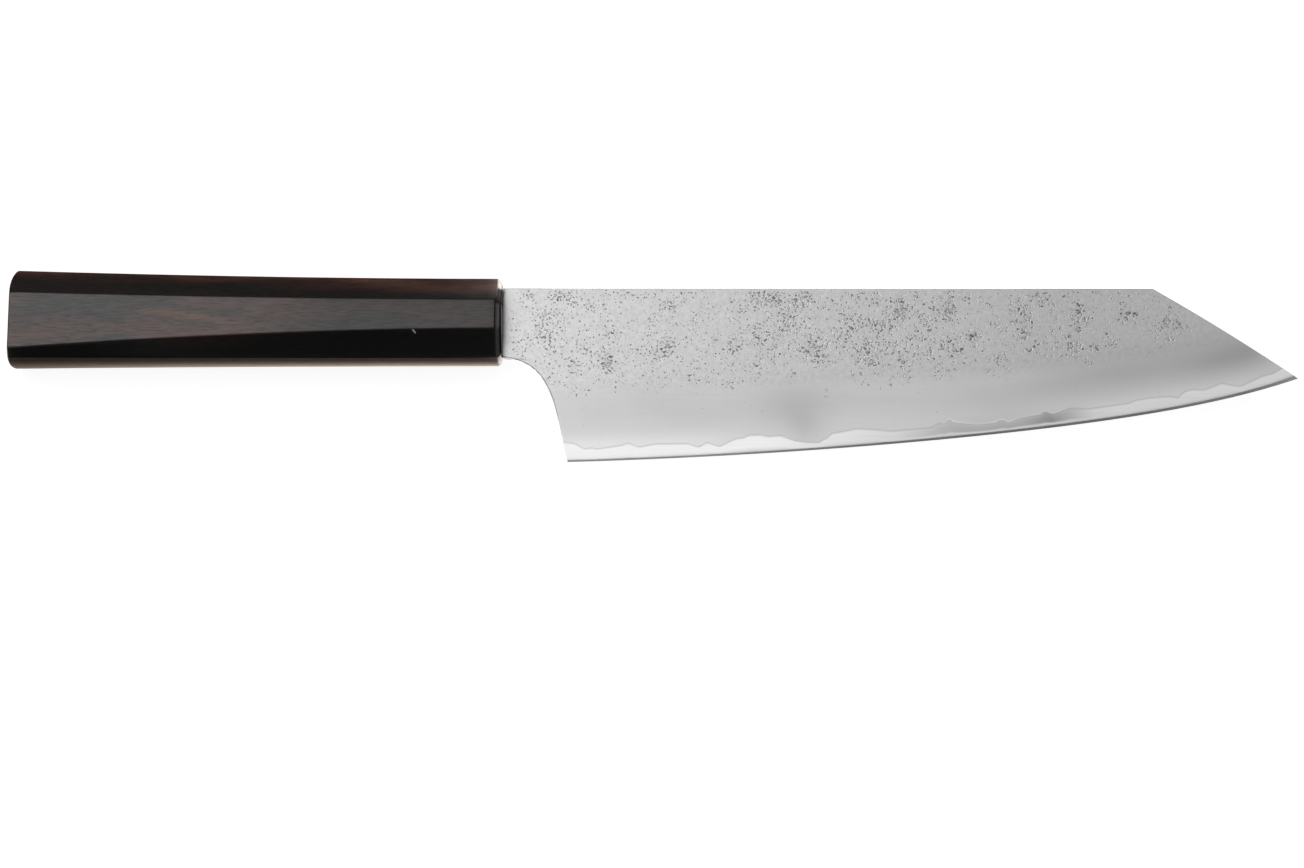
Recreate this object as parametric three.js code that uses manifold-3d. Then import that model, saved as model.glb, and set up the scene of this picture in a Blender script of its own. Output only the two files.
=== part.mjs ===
// Gyuto knife with a clipped point: a three-layer steel blade held by its tang in an octagonal wooden handle.
// Millimetres. The knife lies on its left side: +X runs to the tip, +Y from the edge to the spine, +Z up.
// Inside the knife, x = 0 is the front face of the handle, y = 0 the spine, z = 0 the middle of the blade.

import * as THREE from "three";
import { mergeVertices } from "three/addons/utils/BufferGeometryUtils.js";
import Module from "manifold-3d";

// Blade outline
const bladeLength = 210;
const bladeHeight = 47;
const neckLength = 17.3;
const neckHeight = 18.8;
const choilDrop = 1.3;
const heelLean = 3.5;
const heelRun = 14.1;
const pointLength = 37.6;
const pointDrop = 24.4;
const pointBulge = 0.5;

// Shares of the edge's rise from heel to tip: an even slope, a belly, and the upturn of the last stretch
const slopeShare = 0.24;
const bellyShare = 0.56;
const upturnPower = 8;

// Blade section
const spineThickness = 2.2;
const tipThickness = 0.9;
const heelGrind = 21;
const tipGrind = 15.5;
const edgeBevelHeight = 0.7;
const edgeBevelThickness = 0.3;

// Bare core above the edge: its mean height, and the waves of the line where the cladding ends
const coreReveal = 3.1;
const revealWaves = [
  { length: 39, height: 0.7, start: 17.5 },
  { length: 23.5, height: 0.9, start: 12.7 },
  { length: 19.5, height: 0.7, start: 8.2 },
];
const weldGap = 0.02;

// Handle: how far it stands above the spine and below the neck, its bevels' drops and its flats
const handleLength = 130.15;
const handleWidth = 21.2;
const frontAbove = 1.77;
const frontBelow = 1.18;
const frontUpperBevel = 7.39;
const frontLowerBevel = 6.58;
const frontBottomFlat = 9.2;
const buttAbove = 3.95;
const buttBelow = 1.48;
const buttUpperBevel = 7.6;
const buttLowerBevel = 1.56;
const buttBottomFlat = 11.6;
const topFlat = 9;
const flarePower = 1.8;
const frontRound = 1.6;

// Butt: it swells by a crown inside its rim, and its rim falls back at the top and, by less, at the bottom
const buttCrown = 0.5;
const crownPower = 4;
const buttTopFall = 2.05;
const buttBottomFall = 0.35;
const fallPower = 5;

// Tang, stepped in from the neck at the top and bottom, and what holds it in the handle's slot
const shoulderStep = 3.15;
const shoulderGap = 0.3;
const tangTaper = 4.5;
const buttCover = 36;
const shimThickness = 1.1;
const beddingWall = 1.2;
const beddingEnd = 3;
const sealDepth = 4;
const glueGap = 0.15;

const tangLength = handleLength - buttCover - beddingEnd;
const tangMiddle = -neckHeight / 2;
const tangRootHeight = neckHeight - 2 * shoulderStep;
const tangEndHeight = tangRootHeight - tangTaper;

// Mesh steps
const bladeSteps = 84;
const handleSteps = 12;
const roundSteps = 4;
const buttScales = [0.3, 0.55, 0.75, 0.87, 0.95, 1];
const curveSteps = 16;
const cutMargin = 5;

const wasm = await Module();
wasm.setup();
const { lerp } = THREE.MathUtils;

// Closed skin over rings of points, which lie at growing x and turn from +Y to +Z.
function loft(rings) {
  const count = rings[0].length;
  const last = rings.length - 1;
  const faces = [];
  for (let i = 0; i < last; i++) {
    for (let j = 0; j < count; j++) {
      const next = (j + 1) % count;
      const [a, b] = [i * count + j, i * count + next];
      const [c, d] = [b + count, a + count];
      faces.push(a, b, c, a, c, d);
    }
  }
  for (let j = 1; j < count - 1; j++) {
    faces.push(0, j + 1, j);
    faces.push(last * count, last * count + j, last * count + j + 1);
  }
  return new THREE.BufferGeometry().setFromPoints(rings.flat()).setIndex(faces);
}

function solidOf(geometry) {
  const bare = geometry.clone();
  bare.deleteAttribute("normal");
  bare.deleteAttribute("uv");
  const merged = mergeVertices(bare);
  const vertProperties = merged.attributes.position.array;
  const triVerts = new Uint32Array(merged.index.array);
  return new wasm.Manifold(new wasm.Mesh({ numProp: 3, vertProperties, triVerts }));
}

function piece(name, solid, colour, roughness, metalness) {
  const { vertProperties, triVerts } = solid.getMesh();
  const geometry = new THREE.BufferGeometry();
  geometry.setAttribute("position", new THREE.BufferAttribute(vertProperties, 3));
  geometry.setIndex(new THREE.BufferAttribute(triVerts, 1));
  geometry.computeVertexNormals();
  const material = new THREE.MeshStandardMaterial({ color: colour, roughness, metalness });
  const mesh = new THREE.Mesh(geometry, material);
  mesh.name = name;
  return mesh;
}

// Blade

// How far along the edge x lies, from 0 at the heel to 1 at the tip.
const alongEdge = (x) => (x - neckLength) / (bladeLength - neckLength);

function edgeY(x) {
  const along = Math.max(0, alongEdge(x));
  const upturnShare = 1 - slopeShare - bellyShare;
  const share = slopeShare * along + bellyShare * along ** 2 + upturnShare * along ** upturnPower;
  return -bladeHeight + (bladeHeight - pointDrop) * share;
}

// Half the blade's thickness above the grind: full in the neck and tang, thinning evenly to the tip.
const flankZ = (x) => lerp(spineThickness, tipThickness, Math.max(0, x) / bladeLength) / 2;

const grindHeight = (x) => lerp(heelGrind, tipGrind, Math.max(0, alongEdge(x)));

// Half the thickness on the flat bevel, at a height above the edge.
function bevelZ(x, height) {
  const rise = (height - edgeBevelHeight) / (grindHeight(x) - edgeBevelHeight);
  return lerp(edgeBevelThickness / 2, flankZ(x), rise);
}

// Height of the bare core above the edge, which wanders as the layers wander in the forging.
function revealHeight(x) {
  const wave = ({ length, height, start }) => height * Math.sin((2 * Math.PI * (x - start)) / length);
  return revealWaves.reduce((sum, each) => sum + wave(each), coreReveal);
}

const coreZ = (x) => bevelZ(x, revealHeight(x));

const bladeStations = [-tangLength - cutMargin];
for (let i = 0; i <= bladeSteps; i++) bladeStations.push((i / bladeSteps) * bladeLength);
bladeStations.push(bladeLength + cutMargin);

// The ground wedge: sharp at the edge, a narrow edge bevel, a wide flat bevel, then parallel flanks.
function grindRing(x) {
  const edge = edgeY(x);
  const side = [
    [edge + edgeBevelHeight, edgeBevelThickness / 2],
    [edge + grindHeight(x), flankZ(x)],
    [cutMargin, flankZ(x)],
  ];
  const left = side.map(([y, z]) => new THREE.Vector3(x, y, -z));
  const right = side.map(([y, z]) => new THREE.Vector3(x, y, z)).reverse();
  return [new THREE.Vector3(x, edge, 0), ...left, ...right];
}

// One layer of the blade, between two depths that depend on x.
function layerRing(x, low, high) {
  const top = cutMargin;
  const bottom = -bladeHeight - cutMargin;
  return [
    new THREE.Vector3(x, top, low),
    new THREE.Vector3(x, top, high),
    new THREE.Vector3(x, bottom, high),
    new THREE.Vector3(x, bottom, low),
  ];
}

// Outline of the blade and tang, with stock left below the edge for the wedge to cut away.
function bladeBlank() {
  const choilX = neckLength - heelLean;
  const stock = -bladeHeight - cutMargin;
  const pointStart = bladeLength - pointLength;
  const pointSlope = pointDrop / pointLength;
  const lean = heelLean / heelRun;
  const outline = new THREE.Shape();
  outline.moveTo(-tangLength, tangMiddle + tangEndHeight / 2);
  outline.lineTo(shoulderGap, tangMiddle + tangRootHeight / 2);
  outline.lineTo(shoulderGap, 0);
  outline.lineTo(pointStart, 0);
  const bendX = pointStart + pointLength / 2;
  outline.quadraticCurveTo(bendX, 2 * pointBulge - pointDrop / 2, bladeLength, -pointDrop);
  outline.lineTo(bladeLength + cutMargin, -pointDrop - cutMargin * pointSlope);
  outline.lineTo(bladeLength + cutMargin, stock);
  outline.lineTo(neckLength + cutMargin * lean, stock);
  outline.lineTo(neckLength, -bladeHeight);
  const choilTop = -neckHeight - choilDrop;
  outline.bezierCurveTo(choilX, heelRun - bladeHeight, choilX, choilTop, shoulderGap, -neckHeight);
  outline.lineTo(shoulderGap, tangMiddle - tangRootHeight / 2);
  outline.lineTo(-tangLength, tangMiddle - tangEndHeight / 2);
  outline.closePath();
  const depth = 2 * spineThickness;
  const settings = { depth, bevelEnabled: false, curveSegments: curveSteps };
  return new THREE.ExtrudeGeometry(outline, settings).translate(0, 0, -depth / 2);
}

const groundBlade = solidOf(bladeBlank()).intersect(solidOf(loft(bladeStations.map(grindRing))));

function bladeLayer(low, high) {
  const rings = bladeStations.map((x) => layerRing(x, low(x), high(x)));
  return groundBlade.intersect(solidOf(loft(rings)));
}

const claddingZ = (x) => coreZ(x) + weldGap;
const coreSolid = bladeLayer((x) => -coreZ(x), coreZ);
const rightSolid = bladeLayer(claddingZ, () => spineThickness);
const leftSolid = bladeLayer(() => -spineThickness, (x) => -claddingZ(x));

// Tang fit

const tangHalf = (x) => lerp(tangRootHeight, tangEndHeight, -x / tangLength) / 2;

// A block round the tang's axis that tapers as the tang does, taller than it by grow at the top and bottom.
function tangBlock(back, front, grow, low, high) {
  const rings = [back, front].map((x) => {
    const half = tangHalf(x) + grow;
    return [
      new THREE.Vector3(x, tangMiddle + half, low),
      new THREE.Vector3(x, tangMiddle + half, high),
      new THREE.Vector3(x, tangMiddle - half, high),
      new THREE.Vector3(x, tangMiddle - half, low),
    ];
  });
  return solidOf(loft(rings));
}

const shimInnerZ = spineThickness / 2 + glueGap;
const shimOuterZ = shimInnerZ + shimThickness;
const slotZ = shimOuterZ + glueGap;
const slotBack = -tangLength - beddingEnd;
const fillBack = slotBack + glueGap;
const fillGrow = beddingWall - glueGap;
const innerFront = -sealDepth - glueGap;
const channelBack = -tangLength - glueGap;

const shimRight = tangBlock(-tangLength, innerFront, 0, shimInnerZ, shimOuterZ);
const shimLeft = tangBlock(-tangLength, innerFront, 0, -shimOuterZ, -shimInnerZ);

const tangChannel = tangBlock(channelBack, cutMargin, glueGap, -slotZ, slotZ);
const bedding = tangBlock(fillBack, innerFront, fillGrow, -shimOuterZ, shimOuterZ).subtract(tangChannel);

const tangPassage = tangBlock(channelBack, cutMargin, glueGap, -shimInnerZ, shimInnerZ);
const seal = tangBlock(-sealDepth, 0, fillGrow, -shimOuterZ, shimOuterZ).subtract(tangPassage);

// Handle

const rimX = buttCrown - handleLength;

// How far the butt lies in front of its hindmost point, at a rise from -1 at its bottom to 1 at its top.
function buttSag(scale, rise) {
  const fall = rise > 0 ? buttTopFall : buttBottomFall;
  return buttCrown * scale ** crownPower + fall * Math.abs(rise) ** fallPower;
}

// The octagon at x, drawn in to a scale about its own middle. On the butt its points follow the butt's curve.
function handleRing(x, scale, onButt = false) {
  const flare = Math.min(1, x / (rimX + buttTopFall)) ** flarePower;
  const top = lerp(frontAbove, buttAbove, flare);
  const bottom = -neckHeight - lerp(frontBelow, buttBelow, flare);
  const upper = top - lerp(frontUpperBevel, buttUpperBevel, flare);
  const lower = bottom + lerp(frontLowerBevel, buttLowerBevel, flare);
  const bottomFlat = lerp(frontBottomFlat, buttBottomFlat, flare);
  const middle = (top + bottom) / 2;
  const right = [
    [top, topFlat / 2],
    [upper, handleWidth / 2],
    [lower, handleWidth / 2],
    [bottom, bottomFlat / 2],
  ];
  const left = right.map(([y, z]) => [y, -z]).reverse();
  const point = ([y, z]) => {
    const fromMiddle = (y - middle) * scale;
    const sag = onButt ? buttSag(scale, fromMiddle / (top - middle)) : 0;
    return new THREE.Vector3(x + sag, middle + fromMiddle, z * scale);
  };
  return [...right, ...left].map(point);
}

const handleRings = buttScales.map((scale) => handleRing(-handleLength, scale, true));
for (let i = 1; i <= handleSteps; i++) {
  handleRings.push(handleRing(lerp(rimX, -frontRound, i / handleSteps), 1));
}
for (let i = 1; i <= roundSteps; i++) {
  const turn = (i / roundSteps) * (Math.PI / 2);
  const inset = frontRound * (1 - Math.cos(turn));
  handleRings.push(handleRing(-frontRound + frontRound * Math.sin(turn), 1 - inset / (handleWidth / 2)));
}

const slot = tangBlock(slotBack, cutMargin, beddingWall, -slotZ, slotZ);
const handleBody = solidOf(loft(handleRings)).subtract(slot);

// Assembly: pieces in the order they go together

const knife = new THREE.Group();
knife.add(
  piece("core_steel", coreSolid, 0xd9dcde, 0.28, 1),
  piece("cladding_right", rightSolid, 0xb4b6b8, 0.42, 1),
  piece("cladding_left", leftSolid, 0xb4b6b8, 0.42, 1),
  piece("tang_shim_right", shimRight, 0xc8a97a, 0.7, 0),
  piece("tang_shim_left", shimLeft, 0xc8a97a, 0.7, 0),
  piece("tang_bedding", bedding, 0xa48a5c, 0.4, 0),
  piece("machi_seal", seal, 0x161514, 0.5, 0),
  piece("handle_body", handleBody, 0x2c2320, 0.4, 0),
);

// The origin is under the middle of the knife, on the surface that it lies on.
const box = new THREE.Box3().setFromObject(knife);
const centre = box.getCenter(new THREE.Vector3());
knife.position.set(-centre.x, -centre.y, -box.min.z);

const part = new THREE.Group();
part.add(knife);

export default part;
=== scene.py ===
import bpy
import numpy as np
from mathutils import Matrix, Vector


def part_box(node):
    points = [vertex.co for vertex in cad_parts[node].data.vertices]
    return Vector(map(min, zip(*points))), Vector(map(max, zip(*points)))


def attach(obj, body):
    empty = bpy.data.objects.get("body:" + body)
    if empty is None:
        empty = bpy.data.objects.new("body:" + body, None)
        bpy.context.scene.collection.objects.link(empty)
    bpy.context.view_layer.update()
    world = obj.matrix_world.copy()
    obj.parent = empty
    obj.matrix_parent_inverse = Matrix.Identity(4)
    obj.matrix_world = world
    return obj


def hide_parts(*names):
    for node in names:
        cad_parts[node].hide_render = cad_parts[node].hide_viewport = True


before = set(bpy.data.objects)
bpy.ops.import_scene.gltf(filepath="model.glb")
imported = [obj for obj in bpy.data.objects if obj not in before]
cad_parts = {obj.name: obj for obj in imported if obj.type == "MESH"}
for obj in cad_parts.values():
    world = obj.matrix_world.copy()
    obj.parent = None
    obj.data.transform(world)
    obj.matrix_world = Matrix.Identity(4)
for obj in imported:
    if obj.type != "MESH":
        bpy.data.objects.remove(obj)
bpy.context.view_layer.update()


# Core of the blade
# The hard middle layer of the forge-welded blade: a thin sheet of carbon-rich steel inside softer steel.
# Grinding bares it along the edge, where it takes a bright fine polish, and it runs back into the tang.

MM = 0.001

# The knife's own origin: the handle's front face, the spine and the middle of the blade's thickness.
core_low, core_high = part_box("core_steel")
ORIGIN = np.array([
    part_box("handle_body")[1].x,
    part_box("cladding_right")[1].y,
    (core_low.z + core_high.z) / 2,
])

# Sizes in millimetres. Slope, belly and upturn are their shares of the edge's whole rise.
BLADE_LENGTH = (core_high.x - ORIGIN[0]) / MM
BLADE_HEIGHT = (ORIGIN[1] - core_low.y) / MM
NECK_LENGTH = 17.3
NECK_HEIGHT = 18.8
CHOIL_DROP = 1.3
HEEL_LEAN = 3.5
HEEL_RUN = 14.1
EDGE_SLOPE = 0.24
EDGE_BELLY = 0.56
EDGE_UPTURN = 0.20
POINT_LENGTH = 37.6
POINT_DROP = 24.4
POINT_BULGE = 0.5
POINT_START = BLADE_LENGTH - POINT_LENGTH
SPINE_THICKNESS = 2.2
TIP_THICKNESS = 0.9
HEEL_GRIND = 21.0
TIP_GRIND = 15.5
GRIND_EASE = 1.5
EDGE_THICKNESS = 0.3
EDGE_BEVEL_MEAN = 0.7
EDGE_BEVEL_AT_HEEL = 0.45
EDGE_BEVEL_AT_TIP = 0.8
TIP_WIDENING = 0.4
LINE_MEAN = 3.4
CORE_INSET = 0.05
CORE_EASE = 4.0
SHOULDER_GAP = 0.05
SHOULDER_STEP = 3.15
TANG_ROOT = NECK_HEIGHT - 2 * SHOULDER_STEP
TANG_TAPER = 4.5
TANG_LENGTH = (ORIGIN[0] - core_low.x) / MM

# Turns of the line where the cladding ends: distance from the handle, and height above the edge.
LINE_TURNS = np.array([
    (16, 5.4), (19, 5.0), (21.8, 3.3), (23.6, 3.6), (25, 3.2), (31.4, 4.0), (33.2, 4.6), (36, 3.3),
    (40, 4.0), (49, 3.7), (51.7, 2.5), (53.8, 3.8), (57.2, 2.4), (61.5, 4.4), (63.8, 4.5), (64.7, 5.1),
    (68, 5.0), (70, 4.4), (73.2, 4.5), (77, 2.8), (80, 2.1), (83.7, 1.8), (84.5, 2.6), (85.6, 2.8),
    (86.6, 4.1), (90, 4.4), (93, 4.9), (98.8, 4.1), (102, 3.4), (113, 3.4), (115.3, 4.7), (116.4, 3.8),
    (117.5, 5.4), (119, 4.2), (125, 3.0), (129.5, 3.0), (131.5, 3.8), (133.3, 2.7), (136, 3.6),
    (141.8, 3.9), (142.9, 4.7), (145, 3.6), (149.5, 4.7), (154, 3.8), (165.4, 3.7), (166.6, 4.2),
    (171, 4.3), (176.8, 3.6), (178, 2.7), (179.8, 4.3), (182, 4.5), (185, 3.6), (189.7, 4.5),
    (194.6, 2.3), (201, 3.6), (203.4, 3.4), (206, 4.3),
])


def ramp(value, start, end):
    """Rises from 0 at start to 1 at end by a cubic that is level at both. The end may lie below the start."""
    share = np.clip((value - start) / (end - start), 0, 1)
    return share * share * (3 - 2 * share)


def along_edge(x):
    """Share of the way from the heel to the tip."""
    return np.clip((x - NECK_LENGTH) / (BLADE_LENGTH - NECK_LENGTH), 0, 1)


def edge_y(x):
    """The edge: level behind the heel, then an even slope, a belly and an upturn added together."""
    along = along_edge(x)
    rise = EDGE_SLOPE * along + EDGE_BELLY * along**2 + EDGE_UPTURN * along**8
    return (BLADE_HEIGHT - POINT_DROP) * rise - BLADE_HEIGHT


def edge_bevel(x):
    """Height of the sharpened bevel, growing by the 1.2th power of the way to the tip and by its 40th."""
    along = along_edge(x)
    growth = EDGE_BEVEL_AT_TIP - EDGE_BEVEL_AT_HEEL
    return EDGE_BEVEL_AT_HEEL + growth * along**1.2 + TIP_WIDENING * along**40


def point_y(x):
    """The clipped point's top line: a straight drop to the tip with a slight bulge of a parabola."""
    along = np.clip((x - POINT_START) / POINT_LENGTH, 0, 1)
    return 4 * POINT_BULGE * along * (1 - along) - POINT_DROP * along


def choil_curve(count):
    """The hollow behind the heel: a cubic curve from the heel up to the neck, leaving both as they run."""
    t = np.linspace(0, 1, count)
    lean_x = NECK_LENGTH - HEEL_LEAN
    weights = np.stack([(1 - t) ** 3, 3 * (1 - t) ** 2 * t, 3 * (1 - t) * t**2, t**3], -1)
    corners = np.array([
        (NECK_LENGTH, -BLADE_HEIGHT),
        (lean_x, HEEL_RUN - BLADE_HEIGHT),
        (lean_x, -NECK_HEIGHT - CHOIL_DROP),
        (SHOULDER_GAP, -NECK_HEIGHT),
    ])
    return weights @ corners


def line_height(x):
    """The cladding line above the edge: its turns joined by straight runs, eased over a millimetre."""
    eased = [np.interp(x + shift, *LINE_TURNS.T) for shift in (-0.5, -0.25, 0, 0.25, 0.5)]
    return np.mean(eased, axis=0)


def flank_z(x):
    """Half the thickness above the grind, thinning evenly from the handle to the tip."""
    share = np.clip(x / BLADE_LENGTH, 0, 1)
    return (SPINE_THICKNESS + (TIP_THICKNESS - SPINE_THICKNESS) * share) / 2


def grind_height(x):
    """Height of the ground bevel above the edge, falling evenly from the heel to the tip."""
    return HEEL_GRIND + (TIP_GRIND - HEEL_GRIND) * along_edge(x)


def face_z(x, height):
    """Half the thickness at a height above the edge: a straight bevel that eases into the flat flank.

    The flank less the bevel's slope times a softened ramp, which is w * log(1 + exp(depth / w)).
    """
    grind = grind_height(x)
    slope = (flank_z(x) - EDGE_THICKNESS / 2) / (grind - EDGE_BEVEL_MEAN)
    return flank_z(x) - slope * GRIND_EASE * np.logaddexp(0, (grind - height) / GRIND_EASE)


def core_z(x, y):
    """Half the core's thickness under the cladding: flush at the line, then easing to an even sheet."""
    line = line_height(x)
    share = ramp(y - edge_y(x) - line, 0, CORE_EASE)
    at_line = face_z(x, line)
    sheet = face_z(x, LINE_MEAN)
    return at_line + (sheet - at_line) * share - CORE_INSET


def along_blade(height, share):
    """A line along the blade at a height above the edge, from the hollow at the heel to the point's line.

    Its start is found by going back and forth between the hollow and the height, its end by interpolation.
    """
    hollow = choil_curve(400)
    start = NECK_LENGTH
    for _ in range(6):
        start = np.interp(height(start) - BLADE_HEIGHT, hollow[:, 1], hollow[:, 0])
    reach = np.linspace(POINT_START, BLADE_LENGTH, 2000)
    end = np.interp(0, edge_y(reach) + height(reach) - point_y(reach), reach)
    x = start + (end - start) * share
    return x, edge_y(x) + height(x)


# Rows of the bared core from the edge up: shares of the sharpened bevel's height, shares of the polished
# face above it, and steps over the cladding line.
BEVEL_ROWS = np.array([0, 0.92, 1])
FACE_ROWS = (0.12, 0.3, 0.6, 0.85)
WELD_ROWS = (0.02, 0.07)
COLUMNS = 620
columns = np.linspace(0, 1, COLUMNS)


def bare_core(share):
    """One side of the bared core as rows of points, at shares of its length, from the edge up to its weld.

    Each row is a line along the blade on the ground face. The sharpened rows thin evenly to nothing at the
    edge, and the last row steps down to the sheet under the cladding.
    """
    heights = [lambda x, part=part: part * edge_bevel(x) for part in BEVEL_ROWS]
    heights += [
        lambda x, part=part: edge_bevel(x) + part * (line_height(x) - edge_bevel(x)) for part in FACE_ROWS
    ]
    heights += [lambda x, lift=lift: line_height(x) + lift for lift in WELD_ROWS]
    x, y = np.array([along_blade(height, share) for height in heights]).swapaxes(0, 1)
    depth = face_z(x, y - edge_y(x))
    sharp_x = x[:len(BEVEL_ROWS)]
    depth[:len(BEVEL_ROWS)] = BEVEL_ROWS[:, None] * face_z(sharp_x, edge_bevel(sharp_x))
    depth[-1] = core_z(x[-1], y[-1])
    return np.stack([x, y, depth], -1)


def outline_above(start, end):
    """The blade's outline above the bared core, from the point's line over the spine to the hollow.

    start is a point on the point's line and end one on the hollow behind the heel.
    """
    point_x = np.linspace(start[0], POINT_START, 30)
    top = np.stack([point_x, point_y(point_x)], -1)
    spine_x = np.linspace(POINT_START, SHOULDER_GAP, 60)[1:]
    spine = np.stack([spine_x, 0 * spine_x], -1)
    middle = -NECK_HEIGHT / 2
    root = TANG_ROOT / 2
    tip = (TANG_ROOT - TANG_TAPER) / 2
    tang = np.array([
        (SHOULDER_GAP, middle + root),
        (-TANG_LENGTH, middle + tip),
        (-TANG_LENGTH, middle - tip),
        (SHOULDER_GAP, middle - root),
        (SHOULDER_GAP, -NECK_HEIGHT),
    ])
    hollow = choil_curve(120)[::-1][1:]
    hollow = hollow[hollow[:, 1] > end[1] + 0.1]
    return np.concatenate([top[1:], spine, tang, hollow])


def quads(table):
    """Faces between neighbours in a table of point numbers, turning from its columns to its rows."""
    corners = [table[:-1, :-1], table[1:, :-1], table[1:, 1:], table[:-1, 1:]]
    return np.stack(corners, -1).reshape(-1, 4).tolist()


side = bare_core(columns)
rim = outline_above(side[-1, -1], side[-1, 0])
rim = np.concatenate([rim, core_z(rim[:, 0], rim[:, 1])[:, None]], -1)
flip = np.array([1, 1, -1])
section = np.concatenate([side[::-1], side[1:] * flip])
rows = len(section)
points = np.concatenate([section.reshape(-1, 3), rim, rim * flip])
table = np.arange(rows * COLUMNS).reshape(rows, COLUMNS)
right_rim = rows * COLUMNS + np.arange(len(rim))
left_rim = right_rim + len(rim)
wall = np.stack([
    np.concatenate([table[0, -1:], right_rim, table[0, :1]]),
    np.concatenate([table[-1, -1:], left_rim, table[-1, :1]]),
])
faces = quads(table) + quads(wall)
faces += [np.append(table[0], right_rim).tolist(), np.append(table[-1], left_rim)[::-1].tolist()]
faces += [table[:, 0].tolist(), table[::-1, -1].tolist()]


def linear(code):
    """An sRGB hex colour as the linear red, green, blue and alpha that shaders take."""
    srgb = np.array([int(code[i:i + 2], 16) for i in (1, 3, 5)]) / 255
    return (*np.where(srgb <= 0.04045, srgb / 12.92, ((srgb + 0.055) / 1.055) ** 2.4), 1.0)


def repeats(*sizes):
    """Repeats per metre, along each axis or in all alike, of a pattern with cells of these millimetres."""
    counts = [1 / (size * MM) for size in sizes]
    return counts if len(counts) > 1 else counts[0]


def new_material(name):
    """An empty node material, and its tree."""
    material = bpy.data.materials.new(name)
    material.use_nodes = True
    material.node_tree.nodes.clear()
    return material, material.node_tree


def add(tree, kind, inputs=None, out=0, **settings):
    """Adds a node and gives back one of its outputs, if it has any.

    settings are the node's properties, and inputs its sockets' values or the outputs linked to them. By
    number, Map Range takes a value, its span's ends and the ends they go to, and Mix a factor and two ends.
    """
    node = tree.nodes.new("ShaderNode" + kind)
    for key, value in settings.items():
        setattr(node, key, value)
    for key, value in (inputs or {}).items():
        if isinstance(value, bpy.types.NodeSocket):
            tree.links.new(value, node.inputs[key])
        else:
            node.inputs[key].default_value = value
    return node.outputs[out] if node.outputs else None


def layered(tree, colour, *layers):
    """Lays colours over a first one, each by a value, its span from none to full, and a strength."""
    for value, low, high, strength, code in layers:
        share = add(tree, "MapRange", {0: value, 1: low, 2: high, 4: strength})
        colour = add(tree, "Mix", {0: share, 6: colour, 7: linear(code)}, out=2, data_type="RGBA")
    return colour


# High-carbon steel, ground and finished on fine stones: bright, with hair-fine scratches along the blade.
# Slight darker grey clouds lie along it, and a thin dull line runs along the weld. The scratches are
# some hundredths of a millimetre apart, and are drawn nearly half a millimetre apart to show.
core_steel, tree = new_material("polished_carbon_steel")
place = add(tree, "TexCoord", out="Object")
along = add(tree, "Mapping", {"Vector": place, "Scale": repeats(16.67, 0.4545, 3.333)})
scratches = add(tree, "TexNoise", {"Vector": along, "Scale": 1.0, "Detail": 4.0})
haze = add(tree, "Attribute", out="Fac", attribute_name="haze")
weld = add(tree, "Attribute", out="Fac", attribute_name="weld")
colour = layered(
    tree, linear("#ececec"),
    (scratches, 0.3, 0.7, 1.0, "#f4f4f4"),
    (haze, 0.0, 1.0, 1.0, "#858586"),
    (weld, 0.0, 1.0, 0.4, "#8b8a8a"),
)
rough = add(tree, "MapRange", {0: scratches, 1: 0.3, 2: 0.7, 3: 0.36, 4: 0.42})
surface = add(tree, "BsdfPrincipled", {"Base Color": colour, "Roughness": rough, "Metallic": 1.0})
add(tree, "OutputMaterial", {"Surface": surface})

SHARP_ANGLE = np.radians(40)


def make_piece(name, points, faces, material, node):
    """A mesh from points in millimetres from the knife's origin, standing for one node of the frame."""
    mesh = bpy.data.meshes.new(name)
    mesh.from_pydata((points * MM + ORIGIN).tolist(), [], faces)
    mesh.shade_smooth()
    mesh.set_sharp_from_angle(angle=SHARP_ANGLE)
    mesh.materials.append(material)
    piece = bpy.data.objects.new(name, mesh)
    bpy.context.scene.collection.objects.link(piece)
    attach(piece, "root")
    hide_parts(node)
    return piece


def paint(piece, **fields):
    """Stores one number per point under each name, for the piece's material to read."""
    for name, values in fields.items():
        attribute = piece.data.attributes.new(name, "FLOAT", "POINT")
        attribute.data.foreach_set("value", np.asarray(values, np.float32).ravel())


core = make_piece("core_steel_dressed", points, faces, core_steel, "core_steel")

# Darker grey of the bared core by the distance from the handle: light at the heel, darker in a cloud two
# thirds along.
HAZE = np.array([
    (16, 0.17), (37, 0.115), (57, 0.05), (68, 0.0), (73, 0.015), (84, 0.12), (89, 0.09), (96.5, 0.15),
    (104.5, 0.26), (112.4, 0.47), (116.4, 0.57), (121, 0.63), (137, 0.65), (141, 0.76), (144.5, 0.88),
    (148, 0.67), (152, 0.44), (156, 0.22), (161, 0.15), (185, 0.11), (210, 0.1),
])
# The sharpened bevel's own darker grey, in the same way.
SHARPENED = np.array([
    (16, 0.40), (50, 0.37), (75, 0.6), (110, 0.74), (165, 0.74), (185, 0.6), (208, 0.5),
])
# Share of the darker grey on each row from the edge up, and the two rows of the bright strip over the edge.
HAZE_BY_ROW = np.array([1, 1, 1, 1, 1, 0.95, 0.85, 0.55, 0.55])
STRIP_HAZE = ((2, 0.27), (3, 0.20))

x = points[:, 0]
haze = np.interp(x, *HAZE.T)
from_edge = np.abs(np.arange(rows) - (len(side) - 1))
sharpened = table[from_edge < 2]
haze[sharpened] = np.maximum(haze[sharpened], np.interp(x[sharpened], *SHARPENED.T))
haze[table] *= HAZE_BY_ROW[from_edge][:, None]
for row, strip in STRIP_HAZE:
    haze[table[from_edge == row]] = strip
weld = np.zeros(len(points))
weld[table[from_edge >= len(side) - len(WELD_ROWS)]] = 1
paint(core, haze=np.clip(haze, 0, 1), weld=weld)


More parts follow.
